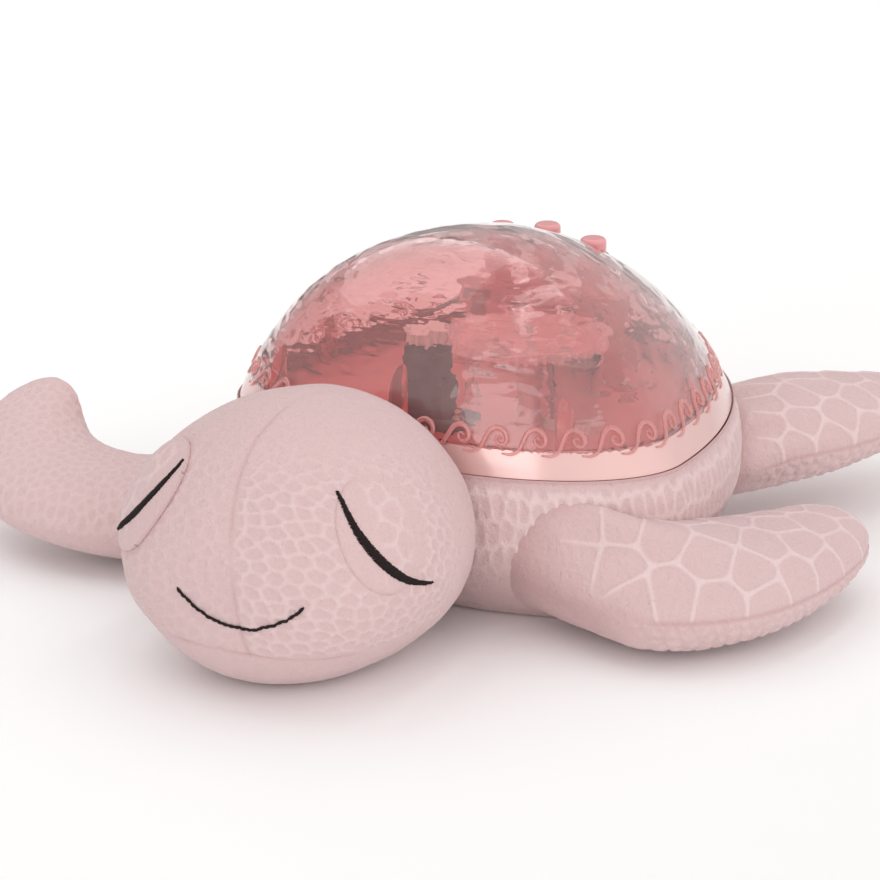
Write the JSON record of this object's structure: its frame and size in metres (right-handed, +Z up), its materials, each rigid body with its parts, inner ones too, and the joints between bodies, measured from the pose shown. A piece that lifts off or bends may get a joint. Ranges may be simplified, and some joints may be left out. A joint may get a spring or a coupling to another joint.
{
  "type": "plush turtle night light",
  "caption": "Stuffed sea turtle with a clear rippled shell over a turning water-light projector, push buttons on the shell and flippers that flap.",
  "frame": {"origin": "on the table, on the underside of the lower case, under the widest line of the shell", "axes": "+Z up, -Y towards the head, +X towards the turtle's left"},
  "size_m": [0.3298, 0.3345, 0.125],
  "materials": {
    "velour": "short velour with embossed scales",
    "thread": "satin stitch",
    "clear_shell": "clear, rose tinted, rippled",
    "rose_plating": "rose-gold plating",
    "coral_plastic": "satin",
    "case_plastic": "satin",
    "button_plastic": "smooth",
    "clear_plastic": "clear",
    "white_plastic": "satin",
    "mirror_plastic": "metallised",
    "black_plastic": "satin",
    "circuit_board": "solder mask",
    "white_board": "white solder mask",
    "led_lens": "clear",
    "steel": "zinc",
    "cell_case": "wrapped",
    "paper_cone": "pressed paper",
    "wire": "insulation"
  },
  "bodies": {
    "turtle": {"body_plush": "velour", "head_plush": "velour", "tail_plush": "velour", "eyelids": "velour", "eye_embroidery": "thread", "mouth_embroidery": "thread", "dome": "clear_shell", "trim_ring": "rose_plating", "deck": "coral_plastic", "button_guide": "coral_plastic", "motor_bracket": "coral_plastic", "base_tub": "case_plastic", "spindle_clip": "white_plastic", "reflector": "mirror_plastic", "motor": "black_plastic", "speaker_frame": "black_plastic", "tact_switches": "black_plastic", "board_components": "black_plastic", "main_board": "circuit_board", "button_board": "white_board", "led_board": "white_board", "leds": "led_lens", "dome_screws": "steel", "case_screws": "steel", "board_screws": "steel", "motor_screws": "steel", "guide_screws": "steel", "disc_spindle": "steel", "contact_plates": "steel", "contact_springs": "steel", "speaker_magnet": "steel", "aa_cells": "cell_case", "speaker_cone": "paper_cone", "motor_leads": "wire", "led_leads": "wire", "speaker_leads": "wire", "battery_leads": "wire"},
    "left_button": {"button_left": "button_plastic"},
    "centre_button": {"button_centre": "button_plastic"},
    "right_button": {"button_right": "button_plastic"},
    "door": {"battery_door": "case_plastic", "door_screw": "steel"},
    "disc": {"ripple_disc": "clear_plastic"},
    "pinion": {"motor_pinion": "white_plastic", "motor_shaft": "steel"},
    "front_left_flipper": {"flipper_front_left": "velour"},
    "front_right_flipper": {"flipper_front_right": "velour"},
    "rear_left_flipper": {"flipper_rear_left": "velour"},
    "rear_right_flipper": {"flipper_rear_right": "velour"}
  },
  "joints": [
    {"name": "left_button_press", "type": "slide", "parent": "turtle", "child": "left_button", "axis": [0, 0, -1], "range_m": [0, 0.0012], "stiffness_N_per_m": 800, "springref_m": -0.0005},
    {"name": "centre_button_press", "type": "slide", "parent": "turtle", "child": "centre_button", "axis": [0, 0, -1], "range_m": [0, 0.0012], "stiffness_N_per_m": 800, "springref_m": -0.0005},
    {"name": "right_button_press", "type": "slide", "parent": "turtle", "child": "right_button", "axis": [0, 0, -1], "range_m": [0, 0.0012], "stiffness_N_per_m": 800, "springref_m": -0.0005},
    {"name": "door_lift_off", "type": "slide", "parent": "turtle", "child": "door", "axis": [0, 0, -1], "range_m": [0, 0.012]},
    {"name": "disc_spin", "type": "hinge", "parent": "turtle", "child": "disc", "pos_m": [0.02199, 0.01048, 0.0895], "axis": [0, 0, 1], "continuous": true},
    {"name": "pinion_spin", "type": "hinge", "parent": "turtle", "child": "pinion", "pos_m": [-0.009, -0.006, 0.0895], "axis": [0, 0, 1], "continuous": true},
    {"name": "front_left_flap", "type": "hinge", "parent": "turtle", "child": "front_left_flipper", "pos_m": [0.083, -0.02582, 0.044], "axis": [-0.6725, -0.7401, 0], "range_deg": [0, 22]},
    {"name": "front_right_flap", "type": "hinge", "parent": "turtle", "child": "front_right_flipper", "pos_m": [-0.083, -0.02582, 0.044], "axis": [-0.6725, 0.7401, 0], "range_deg": [0, 22]},
    {"name": "rear_left_flap", "type": "hinge", "parent": "turtle", "child": "rear_left_flipper", "pos_m": [0.06042, 0.09882, 0.044], "axis": [0.6557, -0.755, 0], "range_deg": [0, 22]},
    {"name": "rear_right_flap", "type": "hinge", "parent": "turtle", "child": "rear_right_flipper", "pos_m": [-0.06042, 0.09882, 0.044], "axis": [0.6557, 0.755, 0], "range_deg": [0, 22]}
  ],
  "couplings": [
    {"joint": "pinion_spin", "follows": "disc_spin", "ratio": -4}
  ]
}
